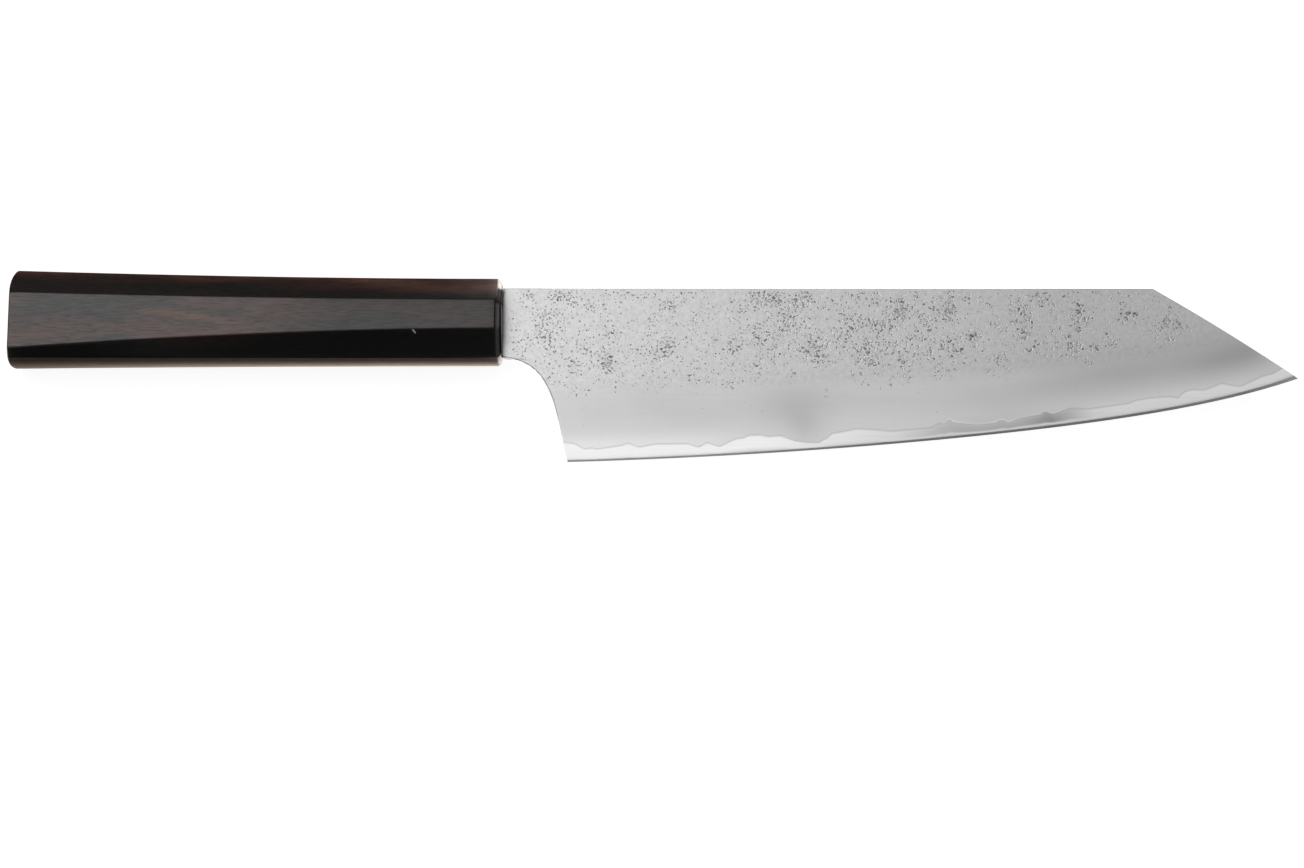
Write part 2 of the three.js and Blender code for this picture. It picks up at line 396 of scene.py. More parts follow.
# Claddings of the blade
# Two sheets of softer stainless steel, forge-welded to the core, one on each face. Above the grind their
# skin keeps the hammer and scale marks of the forge as pear-skin pits; below it they are ground satin.

WELD_GAP = 0.02
CORNER_EASE = 0.2
EASE_SHARE = 0.8
POINT_COSINE = 0.84
PIT_DEPTH = 0.035

# Rows of the skin, closest by its corners and by the cladding line, and coarse on the ground bevel. The way
# along the blade counts for less than the way down in how they are spaced.
CORNER_STOPS = np.array([0, 0.06, 0.14, 0.3])
SHOULDER_ROWS = 10
TANG_ROWS = 41
ROW_STEP = 0.315
FINE_ROWS_END = 28.0
COARSE_STEP = 0.9
LINE_STOPS = np.array([0.8, 0.5, 0.25, 0])
WAY_ALONG = 0.3
TANG_STEPS = 7

# The random fields' cell, their reach along and down the blade, and how far behind the handle they start.
FIELD_CELL = 0.2
FIELD_LENGTH = 216
FIELD_HEIGHT = 52
FIELD_START = -2


def grain_field(seed, grain_x, grain_y):
    """Random hills of a given grain: white noise whose spectrum is cut by a Gaussian, with unit spread."""
    rows, columns = int(FIELD_HEIGHT / FIELD_CELL), int(FIELD_LENGTH / FIELD_CELL)
    white = np.random.default_rng(seed).standard_normal((rows, columns))
    wave_y = np.fft.fftfreq(rows, FIELD_CELL)[:, None]
    wave_x = np.fft.fftfreq(columns, FIELD_CELL)[None, :]
    keep = np.exp(-2 * ((wave_x * grain_x) ** 2 + (wave_y * grain_y) ** 2))
    field = np.fft.ifft2(np.fft.fft2(white) * keep).real
    return field / field.std()


def read_field(field, x, y):
    """A field's value at points of the blade, weighted between its four nearest cells."""
    column = np.clip((x - FIELD_START) / FIELD_CELL, 0, field.shape[1] - 1.001)
    row = np.clip(-y / FIELD_CELL, 0, field.shape[0] - 1.001)
    i, j = row.astype(int), column.astype(int)
    s, t = row - i, column - j
    upper = field[i, j] * (1 - t) + field[i, j + 1] * t
    lower = field[i + 1, j] * (1 - t) + field[i + 1, j + 1] * t
    return upper * (1 - s) + lower * s


# Patches where the pits crowd: middle along and below the spine, half length, half height, how crowded.
PIT_PATCHES = np.array([
    (7.1, -1.9, 1.6, 1.1, 0.7), (15.9, -2.2, 3.2, 2.2, 0.7), (12.2, -7.6, 2.6, 3, 0.75),
    (11.4, -12.2, 2.9, 3.8, 0.7), (14.8, -15.5, 2.1, 2.7, 0.75), (11.9, -21.2, 2.1, 2.2, 0.55),
    (18, -20.9, 2.6, 2.4, 0.6), (24.1, -4.6, 1.3, 1.4, 0.45), (27.5, -19.3, 2.1, 3.8, 0.8),
    (33.6, -19.8, 2.4, 2.2, 0.5), (36.8, -2.2, 4.8, 1.6, 0.75), (43.9, -4.6, 3.2, 1.9, 0.8),
    (47.3, -2.7, 2.6, 2.2, 0.55), (36.2, -11.7, 2.6, 2.7, 0.4), (43.1, -14.7, 2.6, 2.7, 0.75),
    (48.7, -22.6, 3.7, 2.7, 0.6), (56, -20.6, 4.2, 4.9, 0.5), (55.3, -5.2, 1.6, 1.9, 0.6),
    (60.3, -3.3, 1.6, 1.4, 0.7), (66.7, -3, 2.6, 3.8, 0.85), (67.2, -19.3, 1.6, 2.4, 0.7),
    (60, -15.2, 4.2, 2.2, 0.5), (71.2, -3, 3.7, 2.7, 0.85), (79.4, -3.8, 3.7, 3.3, 0.65),
    (70.6, -15.2, 3.2, 4.9, 0.65), (80.1, -17.9, 3.2, 3, 0.75), (73, -10, 12, 9, 0.62),
    (91.8, -11.1, 2.9, 5.4, 0.75), (98.7, -3.3, 2.9, 2.4, 0.75), (105.3, -7.3, 3.2, 5.2, 0.9),
    (96.5, -15.8, 2.4, 4.6, 0.75), (105.5, -19.3, 2.1, 1.9, 0.75), (97.6, -19.8, 1.6, 1.4, 0.7),
    (105, -11, 16, 9, 0.66), (118, -5.2, 2.1, 4.3, 1), (122.7, -4.1, 2.6, 2.7, 0.7),
    (112.9, -15.5, 1.6, 3, 0.85), (118, -14.9, 3.2, 4.1, 0.7), (124, -13.6, 1.6, 1.4, 0.8),
    (130.7, -9.8, 3.2, 2.7, 0.8), (128, -22.3, 1.6, 1.4, 0.7), (132.2, -19.3, 2.1, 1.9, 0.7),
    (133.3, -2.7, 1.6, 1.6, 0.55), (138.6, -9, 2.6, 4.9, 0.85), (139.4, -16, 2.4, 2.2, 0.7),
    (142.8, -1.6, 2.9, 1.9, 0.75), (150, -1.6, 1.9, 1.6, 0.8), (152.4, -6.2, 1.9, 3, 0.9),
    (154.2, -8.4, 1.9, 1.4, 0.8), (146.3, -8.2, 0.7, 1.6, 0.8), (151.6, -15.2, 2.4, 2.7, 0.85),
    (145.7, -15.5, 2.1, 1.4, 0.65), (156, -15.8, 1.3, 1.1, 0.9), (161.9, -14.7, 1.3, 1.9, 0.75),
    (165, -7.3, 2.6, 2.4, 0.9), (161.3, -2.4, 0.8, 2.2, 0.7), (167.7, -9.2, 0.8, 2.2, 0.6),
    (170.3, -3.8, 1.3, 1.4, 0.55), (177, -10.6, 2.9, 3.5, 0.85), (13, -11, 7, 9, 0.5),
    (45, -9, 16, 9, 0.46), (137.5, -8.5, 4.2, 7, 0.66), (86, -17.5, 16, 5, 0.64),
    (152.8, -10.5, 1.6, 2.4, 0.75), (149.5, -13.5, 1.6, 2.2, 0.7), (160.5, -12.5, 1.2, 1.6, 0.7),
    (166.5, -9.8, 1.6, 1.6, 0.75), (163.5, -4.5, 1.2, 2.6, 0.75),
])
# The fall of a patch's bell and its power, its push on the grain and the level where a large pit starts, the
# wander of the lower border, the fade at the point, and the crowding between patches with its unevenness.
PATCH_FALL = 0.35
PATCH_POWER = 1.3
PATCH_PUSH = 1.5
LARGE_PIT = 3.9
WANDER = 2.2
POINT_FADE = (186, 178)
SPARSE = 0.41
UNEVEN = 0.1
FAR_OFF = 9.0


def from_hollow(x, y):
    """Distance from the hollow behind the heel: the least one to its points, and a large one further off."""
    away = np.full_like(x, FAR_OFF)
    near = (x < NECK_LENGTH + 2) & (y < 1 - NECK_HEIGHT)
    points = np.stack([x[near], y[near]], -1)
    away[near] = np.min(np.linalg.norm(points[:, None] - choil_curve(300)[None], axis=-1), axis=1)
    return away


def pear_skin(x, y, seed):
    """Large pits of the pear-skin from 0 to 1, and how crowded its small pits are, from 0 to 1.

    The crowding is the strongest of the patches' bells at each point, with a random unevenness. A random
    grain above a threshold makes the large pits. All of it fades out at the grind, the point and the outline.
    """
    middle_x, middle_y, half_x, half_y, crowded = PIT_PATCHES.T
    away = ((x[:, None] - middle_x) / half_x) ** 2 + ((y[:, None] - middle_y) / half_y) ** 2
    patch = np.max(crowded * np.exp(-PATCH_FALL * away**PATCH_POWER), axis=1)
    uneven = UNEVEN * read_field(grain_field(seed, 4, 4), x, y)
    grain = read_field(grain_field(seed + 2, 0.5, 0.5), x, y)
    wander = WANDER * read_field(grain_field(seed + 5, 7, 5), x, y)
    large = np.clip(grain + PATCH_PUSH * patch - LARGE_PIT, 0, 1)
    keep = ramp(y - edge_y(x) - grind_height(x) + wander, -1.5, 1.5) * ramp(x - wander, *POINT_FADE)
    keep *= ramp(x - 2 * SHOULDER_GAP, -1, 4)
    keep *= ramp(point_y(x) - y, 0.2, 1) * ramp(from_hollow(x, y), 0.3, 1.2)
    sparse = SPARSE + 0.05 * ramp(x, 55, 75) - 0.14 * ramp(x, 122, 142)
    cluster = np.clip(np.maximum(patch, sparse) + uneven, 0, 1)
    return large * keep, cluster * keep


def cladding_sheet():
    """The outer skin of a cladding, as a grid of points from the spine's row down to the cladding line.

    A patch between four sides: the spine on top, the cladding line below, the shoulder and the hollow behind
    the heel on the left, the clipped point on the right. Each point is its row's run from left to right, plus
    the bow of the lower side in proportion to how far down the row lies. The first and last rows of the tang
    are given too.
    """
    lower_x, lower_y = along_blade(line_height, columns)
    hollow = choil_curve(800)[::-1]
    hollow = hollow[hollow[:, 1] > lower_y[0]]
    left_line = np.concatenate([[(SHOULDER_GAP, 0.0)], hollow, [(lower_x[0], lower_y[0])]])
    reach = np.cumsum(np.hypot(WAY_ALONG * np.diff(left_line[:, 0]), np.diff(left_line[:, 1])))
    reach = np.append(0, reach)
    tang_top, tang_low = SHOULDER_STEP, SHOULDER_STEP + TANG_ROOT
    stops = np.concatenate([
        CORNER_STOPS[:-1],
        np.linspace(CORNER_STOPS[-1], tang_top, SHOULDER_ROWS),
        np.linspace(tang_top, tang_low, TANG_ROWS)[1:],
        np.arange(tang_low + ROW_STEP, FINE_ROWS_END, ROW_STEP),
        np.arange(FINE_ROWS_END, reach[-1] - 1, COARSE_STEP),
        reach[-1] - LINE_STOPS,
    ])
    left = np.stack([np.interp(stops, reach, left_line[:, k]) for k in (0, 1)], -1)
    share = stops / reach[-1]
    right_x = POINT_START + (lower_x[-1] - POINT_START) * share
    right = np.stack([right_x, point_y(right_x)], -1)
    run = CORNER_STOPS / BLADE_LENGTH
    across = np.concatenate([run, np.linspace(run[-1], 1 - run[-1], COLUMNS - 6)[1:-1], 1 - run[::-1]])
    straight = left[-1] + (right[-1] - left[-1]) * across[:, None]
    bow = np.stack(along_blade(line_height, across), -1) - straight
    grid = left[:, None] + (right - left)[:, None] * across[None, :, None] + bow[None] * share[:, None, None]
    first = int(np.argmin(np.abs(stops - tang_top)))
    last = int(np.argmin(np.abs(stops - tang_low)))
    return grid, first, last


def eased_drop(x, y, room):
    """How far the skin drops at its outer edges: a quarter round of the spine, the point and the hollow.

    room is the cladding's thickness there, of which the round takes no more than a share.
    """
    from_top = point_y(x) - y
    away = np.where(x > POINT_START, POINT_COSINE * from_top, from_top)
    away = np.minimum(away, from_hollow(x, y))
    share = np.clip(1 - away / CORNER_EASE, 0, 1)
    return np.minimum(CORNER_EASE, EASE_SHARE * room) * (1 - np.sqrt(1 - share**2))


def bell(value, middle, half):
    """A bell of height 1 round a middle: the exponential of minus the square of the way off over half."""
    return np.exp(-((value - middle) / half) ** 2)


# Darker clouds of the face: middle along and below the spine, half length, half height, strength.
DULL_CLOUDS = ((76, -31.5, 10, 6, 0.24), (39, -30, 15, 6, 0.10), (79.5, -37.5, 4.5, 4.5, 0.20))
# Painted shade in bands along the bevel where it turns: start and full, end and fade, height above the edge,
# half height, strength.
DULL_BANDS = ((112, 172, 210, 196, 12.2, 5.2, 0.38), (172, 196, 210, 204, 10.5, 4.5, 0.24))
# The stretch over the core's darker cloud, where the line shows as a painted highlight: start and full, end
# and fade.
HAZY_STRETCH = (113, 119, 152, 146)


def face_fields(x, y):
    """The finish of a cladding's face as numbers at its points, each a sum of bells and ramps.

    They are placed in millimetres from the handle, below the spine or above the edge. satin is the ground
    bevel, weld the dull line over the core and glint a painted highlight along it, thin a lighter grey
    near the edge, dusk painted shade where the bevel turns and along the hollow's edge together
    with darker clouds, and neck painted shade beside the handle and on the spine's corner.
    """
    height = y - edge_y(x)
    above_line = height - line_height(x)
    start, full, end, fade = HAZY_STRETCH
    hazy = ramp(x, start, full) * ramp(x, end, fade)
    weld = np.clip(1 - above_line / 0.2, 0, 1) * (1 - hazy)
    # A painted highlight along the cladding line over that stretch.
    glint = np.clip(1 - above_line / 0.5, 0, 1) * hazy
    glint *= 0.25 + 0.5 * bell(x, 118.5, 2.5) + 0.4 * bell(x, 132, 4)
    thin = 0.42 * ramp(height, 13, 3) + 0.5 * ramp(height, 8, 4) * ramp(x, 75, 45)
    thin += 0.3 * ramp(height, 7, 3.5) * ramp(x, 150, 158) * ramp(x, 205, 190)
    # Darker grey over the stretch of the core's darker cloud.
    dusk = 0.12 * ramp(x, 112, 152) * ramp(height, 14, 19)
    dusk += bell(x, 131, 17) * (0.10 * ramp(height, 14, 9) + 0.07 * ramp(height, 6, 3))
    for middle_x, middle_y, half_x, half_y, strength in DULL_CLOUDS:
        dusk += strength * bell(x, middle_x, half_x) * bell(y, middle_y, half_y)
    for start, full, end, fade, middle, half, strength in DULL_BANDS:
        dusk += strength * ramp(x, start, full) * ramp(x, end, fade) * bell(height, middle, half)
    # Painted shade along the hollow's eased edge behind the heel.
    by_hollow = np.clip(1.3 - from_hollow(x, y) / 0.3, 0, 1) * ramp(x, 1.5, 4.5) * ramp(y, -40, -28)
    dusk += 0.75 * by_hollow
    # Painted shade beside the handle, for its shadow and dark reflection on the steel, and along the spine's
    # eased corner.
    neck = (0.75 - 0.35 * ramp(y, -13, -17)) * np.exp(-np.clip(x, 0, None) / 0.55)
    on_spine = np.clip(1.25 + y / 0.16, 0, 1) * ramp(x, POINT_START + 1, POINT_START - 1) * ramp(x, 1, 3)
    return {
        "satin": ramp(height - grind_height(x), 1, -4),
        "weld": weld,
        "thin": thin,
        "dusk": dusk,
        "glint": glint,
        "neck": np.maximum(neck, 0.7 * on_spine),
    }


def make_cladding(name, node, seed, facing):
    """One cladding: its skin, the tang's skin, a wall round the outline and the weld face.

    The skin is the ground face less its eased corners and pits, and the weld face follows the core. facing is
    1 for the right face of the blade and -1 for the left.
    """
    grid, first, last = cladding_sheet()
    rows, count = grid.shape[:2]
    root_y = grid[first:last + 1, 0, 1]
    middle = -NECK_HEIGHT / 2
    tang_x = np.linspace(-TANG_LENGTH, SHOULDER_GAP, TANG_STEPS)[:-1]
    narrow = 1 - TANG_TAPER / TANG_ROOT * (SHOULDER_GAP - tang_x) / (SHOULDER_GAP + TANG_LENGTH)
    tang_y = middle + (root_y[:, None] - middle) * narrow
    tang = np.stack([np.broadcast_to(tang_x, tang_y.shape), tang_y], -1).reshape(-1, 2)
    x, y = np.concatenate([grid.reshape(-1, 2), tang]).T
    skin = face_z(x, y - edge_y(x))
    inner = core_z(x, y) + WELD_GAP
    pits, cluster = pear_skin(x, y, seed)
    skin = skin - eased_drop(x, y, skin - inner) - PIT_DEPTH * pits
    table = np.arange(rows * count).reshape(rows, count)
    tang_table = rows * count + np.arange(len(tang)).reshape(last - first + 1, TANG_STEPS - 1)
    tang_table = np.concatenate([tang_table, table[first:last + 1, :1]], 1)
    loop = np.concatenate([
        table[-1],
        table[-2:0:-1, -1],
        table[0, ::-1],
        table[1:first + 1, 0],
        tang_table[0, -2::-1],
        tang_table[1:, 0],
        tang_table[-1, 1:],
        table[last + 1:-1, 0],
    ])
    points = np.concatenate([
        np.stack([x, y, skin], -1),
        np.stack([x[loop], y[loop], inner[loop]], -1),
    ])
    points[:, 2] *= facing
    weld_loop = len(x) + np.arange(len(loop))
    closed = np.stack([np.append(loop, loop[0]), np.append(weld_loop, weld_loop[0])])
    faces = quads(table) + quads(tang_table) + quads(closed) + [weld_loop[::-1].tolist()]
    if facing < 0:
        faces = [face[::-1] for face in faces]
    piece = make_piece(name, points, faces, cladding_steel, node)
    fields = {"pits": pits, "cluster": cluster, **face_fields(x, y)}
    inside = np.zeros(len(loop))
    paint(piece, **{field: np.append(values, inside) for field, values in fields.items()})


# Soft stainless steel as it comes from the forge, rolled and pickled, then ground on a wheel below: grey and
# even, with dull dark pits two thirds of a millimetre apart above and faint streaks along the bevel. The
# wheel's streaks are finer than a tenth of a millimetre, and are drawn coarser to show.
cladding_steel, tree = new_material("forged_stainless_steel")
place = add(tree, "TexCoord", out="Object")
pits, cluster, satin, weld, thin, dusk, glint, neck = [
    add(tree, "Attribute", out="Fac", attribute_name=name)
    for name in ("pits", "cluster", "satin", "weld", "thin", "dusk", "glint", "neck")
]
streak_place = add(tree, "Mapping", {"Vector": place, "Scale": repeats(22.22, 0.7143, 5)})
streaks = add(tree, "TexNoise", {"Vector": streak_place, "Scale": 1.0, "Detail": 3.0})
cloud_place = add(tree, "Mapping", {"Vector": place, "Scale": repeats(25, 11.11, 11.11)})
clouds = add(tree, "TexNoise", {"Vector": cloud_place, "Scale": 1.0, "Detail": 2.0})
mottle = add(tree, "TexNoise", {"Vector": place, "Scale": repeats(1.1111), "Detail": 2.0})
grain = add(tree, "TexNoise", {"Vector": place, "Scale": repeats(0.64516), "Detail": 1.5})
depth = add(tree, "TexNoise", {"Vector": place, "Scale": repeats(1.9231), "Detail": 0.0})

# A small pit is where the grain passes a threshold that falls as the pits crowd. Some are fainter.
threshold = add(tree, "MapRange", {0: cluster, 3: 0.79, 4: 0.515})
past_edge = add(tree, "Math", {0: grain, 1: threshold}, operation="SUBTRACT")
small = add(tree, "MapRange", {0: past_edge, 1: 0.0, 2: 0.06})
faint = add(tree, "MapRange", {0: depth, 1: 0.36, 2: 0.66, 3: 0.25, 4: 0.85})
small = add(tree, "Math", {0: small, 1: faint}, operation="MULTIPLY")
dots = add(tree, "Math", {0: small, 1: pits}, operation="MAXIMUM")
skin = layered(
    tree, linear("#b7b6b6"),
    (mottle, 0.3, 0.7, 1.0, "#c2c2c2"),
    (cluster, 0.5, 1.0, 0.12, "#9a9999"),
    # A lighter ring round each small pit: a painted highlight on its rim.
    (past_edge, -0.08, -0.02, 0.65, "#d6d6d6"),
)
ground = layered(
    tree, linear("#cdcdcd"),
    (streaks, 0.3, 0.7, 1.0, "#d0d0d0"),
    (clouds, 0.35, 0.65, 0.35, "#c5c3c3"),
    (thin, 0.0, 1.0, 1.0, "#e4e4e4"),
)
colour = layered(
    tree, add(tree, "Mix", {0: satin, 6: skin, 7: ground}, out=2, data_type="RGBA"),
    # Painted shade, together with darker clouds.
    (dusk, 0.0, 1.0, 1.0, "#8f8d8d"),
    # Painted shade beside the handle and on the spine's corner.
    (neck, 0.0, 1.0, 1.0, "#22201f"),
    (dots, 0.0, 1.0, 1.0, "#4a4949"),
    (weld, 0.0, 1.0, 0.4, "#8c8b8b"),
    # Painted highlight along the cladding line.
    (glint, 0.0, 1.0, 1.0, "#f4f4f4"),
)
rough = add(tree, "MapRange", {0: satin, 3: 0.34, 4: 0.46})
rims = add(tree, "MapRange", {0: past_edge, 1: -0.06, 2: 0.07})
rims = add(tree, "Math", {0: rims, 1: pits}, operation="MAXIMUM")
dents = add(tree, "Bump", {"Height": rims, "Strength": 0.6, "Distance": 0.15 * MM}, invert=True)
surface = add(tree, "BsdfPrincipled", {
    "Base Color": colour, "Roughness": rough, "Metallic": 1.0, "Normal": dents,
})
add(tree, "OutputMaterial", {"Surface": surface})

make_cladding("cladding_right_dressed", "cladding_right", 11, 1)
make_cladding("cladding_left_dressed", "cladding_left", 31, -1)


# Packing strips
# Two thin slips of pale straight-grained wood, planed to a close fit and pushed in beside the tang, one on
# each face, to take up the width of the handle's slot.

# Magnolia, left as it was planed: pale straw, with a soft straight grain and no gloss.
shim_wood, tree = new_material("planed_magnolia")
place = add(tree, "TexCoord", out="Object")
grain_place = add(tree, "Mapping", {"Vector": place, "Scale": repeats(40, 1.111, 1.111)})
grain = add(tree, "TexNoise", {"Vector": grain_place, "Scale": 1.0, "Detail": 4.0})
colour = layered(tree, linear("#c2a273"), (grain, 0.3, 0.7, 1.0, "#d6bd92"))
rough = add(tree, "MapRange", {0: grain, 1: 0.3, 2: 0.7, 3: 0.6, 4: 0.75})
surface = add(tree, "BsdfPrincipled", {"Base Color": colour, "Roughness": rough})
add(tree, "OutputMaterial", {"Surface": surface})


def dress(node, material):
    """Gives a node of the frame its finish."""
    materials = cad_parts[node].data.materials
    materials.clear()
    materials.append(material)


dress("tang_shim_right", shim_wood)
dress("tang_shim_left", shim_wood)


# Bedding
# Resin poured into the slot above, below and behind the tang, where it sets hard and locks the blade in the
# handle.

# Cast resin: amber, slightly cloudy in patches of some millimetres, and smooth.
bedding_resin, tree = new_material("cast_amber_resin")
place = add(tree, "TexCoord", out="Object")
clouds = add(tree, "TexNoise", {"Vector": place, "Scale": repeats(2.5), "Detail": 2.0})
colour = layered(tree, linear("#94723c"), (clouds, 0.0, 1.0, 1.0, "#b08f58"))
surface = add(tree, "BsdfPrincipled", {"Base Color": colour, "Roughness": 0.35, "IOR": 1.55})
add(tree, "OutputMaterial", {"Surface": surface})
dress("tang_bedding", bedding_resin)


# Mouth seal
# A plug of black resin round the root of the tang. It fills the mouth of the slot against water, and is wiped
# level with the handle's front while it is soft.

# Wiped resin: black, half matt, with faint smears of under a millimetre.
seal_resin, tree = new_material("wiped_black_resin")
place = add(tree, "TexCoord", out="Object")
clouds = add(tree, "TexNoise", {"Vector": place, "Scale": repeats(0.6667), "Detail": 2.0})
colour = layered(tree, linear("#0e0d0c"), (clouds, 0.0, 1.0, 1.0, "#191715"))
rough = add(tree, "MapRange", {0: clouds, 1: 0.3, 2: 0.7, 3: 0.4, 4: 0.55})
surface = add(tree, "BsdfPrincipled", {"Base Color": colour, "Roughness": rough, "IOR": 1.5})
add(tree, "OutputMaterial", {"Surface": surface})
dress("machi_seal", seal_resin)


# Handle
# One piece of near-black hardwood, planed to eight sides that flare to the butt, with a chamfered front and a
# crowned butt. A slot is bored and broached from the front for the tang. Oiled and buffed.

handle_low, handle_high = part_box("handle_body")
HANDLE_LENGTH = (handle_high.x - handle_low.x) / MM
HANDLE_WIDTH = (handle_high.z - handle_low.z) / MM
TOP_FLAT = 9.0
FRONT_ROUND = 2.05
FACET_DRAWN_BACK = 0.35
BUTT_CROWN = 0.85
BUTT_TOP_FALL = 1.75
BUTT_SCALE = 0.985
BUTT_EASE = 0.35
RIM_X = BUTT_CROWN - HANDLE_LENGTH
FLARE_POWER = 1.8
RIDGE_ROUND = 0.5
BOTTOM_CROWN = 0.5
SLOT_HALF_WIDTH = 2.5
SLOT_WALL = 1.2
SLOT_LENGTH = TANG_LENGTH + 3
ARC_STEPS = 5
FLAT_STEPS = 8
BODY_RINGS = 64
BODY_FROM_RIM = 4

# Sizes at the front and at the butt: the top above the spine, the bottom below the neck, the heights of the
# upper and lower bevels, and the width of the bottom flat.
TOP_RISE = (1.77, 3.95)
BOTTOM_DROP = (1.18, 1.48)
UPPER_BEVEL = (7.39, 7.6)
LOWER_BEVEL = (6.58, 1.56)
BOTTOM_FLAT = (9.2, 11.6)

# Steps of the front chamfer: way forward, way in, and how matt and dark the wood is there, painted as lines
# of shade.
CHAMFER = np.array([
    (0.05, 0.004, 0.5), (0.2, 0.035, 0.9), (0.4, 0.12, 0.7), (0.45, 0.14, 0.3), (0.75, 0.34, 0),
    (1.05, 0.56, 0), (1.3, 0.78, 0.3), (1.4, 0.88, 0.8), (1.55, 1.05, 1), (1.75, 1.3, 1),
    (1.82, 1.41, 0.9), (1.95, 1.68, 0.3), (2.03, 1.95, 0.1), (2.05, 2.14, 0.1),
])
# Rings of the butt: shares of its section on the crown, then the steps of its eased rim.
BUTT_RINGS = np.array([0.3, 0.5, 0.7, 0.84, 0.92, 0.96, 0.98, 0.992, 1])
RIM_STEPS = np.array([0.04, 0.15, 0.35])


def handle_corners(x):
    """The eight corners of the handle's section at each x, turning from the top's right end down the right.

    Each size runs from its value at the front to its value at the butt by the flare's power of the way back.
    The height of the section's middle is given too.
    """
    flare = np.clip(x / (RIM_X + BUTT_TOP_FALL), 0, 1) ** FLARE_POWER
    top, drop, upper, lower, flat = [
        front + (butt - front) * flare
        for front, butt in (TOP_RISE, BOTTOM_DROP, UPPER_BEVEL, LOWER_BEVEL, BOTTOM_FLAT)
    ]
    bottom = -NECK_HEIGHT - drop
    width = np.full_like(x, HANDLE_WIDTH / 2)
    right_y = np.stack([top, top - upper, bottom + lower, bottom], -1)
    right_z = np.stack([np.full_like(x, TOP_FLAT / 2), width, width, flat / 2], -1)
    y = np.concatenate([right_y, right_y[:, ::-1]], 1)
    z = np.concatenate([right_z, -right_z[:, ::-1]], 1)
    return np.stack([y, z], -1), (top + bottom) / 2


def rounded_rings(corners):
    """Rings of points round the corners, each corner cut back to a small arc and each side a straight run.

    The arc is a quadratic curve between points set back along the two sides. The bottom flat bulges by a
    parabola.
    """
    ways = np.stack([np.roll(corners, turn, axis=1) - corners for turn in (1, -1)])
    start, end = corners + RIDGE_ROUND * ways / np.linalg.norm(ways, axis=-1, keepdims=True)
    t = np.linspace(0, 1, ARC_STEPS)[None, None, :, None]
    arc = (1 - t) ** 2 * start[:, :, None] + 2 * t * (1 - t) * corners[:, :, None] + t**2 * end[:, :, None]
    next_start = np.roll(start, -1, axis=1)
    s = np.linspace(0, 1, FLAT_STEPS + 2)[1:-1][None, None, :, None]
    run = end[:, :, None] + (next_start - end)[:, :, None] * s
    run[:, 3, :, 0] -= BOTTOM_CROWN * (1 - (2 * s[:, 0, :, 0] - 1) ** 2)
    ring = np.concatenate([arc, run], 2)
    return ring.reshape(len(corners), -1, 2)


chamfer_x, chamfer_in, chamfer_dull = CHAMFER.T
body_x = np.linspace(RIM_X + BODY_FROM_RIM, -FRONT_ROUND, BODY_RINGS)
near_butt = len(BUTT_RINGS) + len(RIM_STEPS)
ring_x = np.concatenate([np.full(near_butt, -HANDLE_LENGTH), body_x, chamfer_x - FRONT_ROUND])
scale = np.concatenate([
    BUTT_RINGS * BUTT_SCALE,
    1 - (1 - BUTT_SCALE) * (1 - RIM_STEPS / BUTT_EASE) ** 2,
    np.ones_like(body_x),
    1 - chamfer_in / (HANDLE_WIDTH / 2),
])
corners, middle = handle_corners(ring_x)
rings = rounded_rings(corners)
ring_count = rings.shape[1]
rings[:, :, 0] -= middle[:, None]
upper_ridge, bottom_ridge = [(corners[:, k, 0] - middle)[:, None] for k in (1, 3)]
on_upper = ramp(rings[:, :, 0] - upper_ridge, 0, 1.5)
on_bottom = ramp(rings[:, :, 0] - bottom_ridge, 0.4, 0)
drawn_back = FACET_DRAWN_BACK * np.maximum(on_upper, on_bottom) * (ring_x[:, None] >= -FRONT_ROUND)
rings *= scale[:, None, None]

# The butt's curve: a crown by the square across its width, and a fall by the fifth power towards the top.
rise = rings[:, :, 0] / (corners[:, 0, 0] - middle)[:, None]
fall = BUTT_TOP_FALL * np.clip(rise, 0, None) ** 5
crown = BUTT_CROWN * (2 * rings[:, :, 1] / HANDLE_WIDTH) ** 2
ease = np.concatenate([0 * BUTT_RINGS, RIM_STEPS, np.zeros(len(ring_x) - near_butt)])
sag = (fall + crown + ease[:, None]) * (ring_x == -HANDLE_LENGTH)[:, None]
ring_y = rings[:, :, 0] + middle[:, None]
body = np.stack([ring_x[:, None] * (1 - drawn_back) + sag, ring_y, rings[:, :, 1]], -1)

# The slot's mouth and end: the ring's points carried to the four sides of the tang's slot.
mouth_corners = np.array([(1, 1), (-1, 1), (-1, -1), (1, -1), (1, 1)])
ring_mark = np.array([0, 3, 4, 7, 8]) * (ring_count // 8) + ARC_STEPS // 2
number = np.arange(ring_count) + np.where(np.arange(ring_count) < ARC_STEPS // 2, ring_count, 0)
mouth = np.stack([np.interp(number, ring_mark, mouth_corners[:, k]) for k in (0, 1)], -1)


def slot_ring(x):
    """The slot's section at x: taller than the tang by the bedding's wall, and tapering with it."""
    half = (TANG_ROOT - TANG_TAPER * -x / TANG_LENGTH) / 2 + SLOT_WALL
    y = -NECK_HEIGHT / 2 + half * mouth[:, 0]
    return np.stack([np.full(ring_count, x), y, SLOT_HALF_WIDTH * mouth[:, 1]], -1)


body = np.concatenate([body, slot_ring(0.0)[None], slot_ring(-SLOT_LENGTH)[None]])
table = np.arange(len(body) * ring_count).reshape(len(body), ring_count)
table = np.concatenate([table, table[:, :1]], 1)
faces = [face[::-1] for face in quads(table)]
faces += [table[0, :-1].tolist(), table[-1, -2::-1].tolist()]

# Ebony, planed, oiled and buffed: near black, with brown streaks along the grain, fine pores that show as
# short dark dashes, and an even half gloss. Painted shade darkens it and takes the gloss off on the corners
# and the front. The pores are a tenth of a millimetre wide, and are drawn three times as wide to show.
handle_wood, tree = new_material("oiled_ebony")
place = add(tree, "TexCoord", out="Object")
heart, warm, worn = [
    add(tree, "Attribute", out="Fac", attribute_name=name) for name in ("heart", "warm", "end")
]

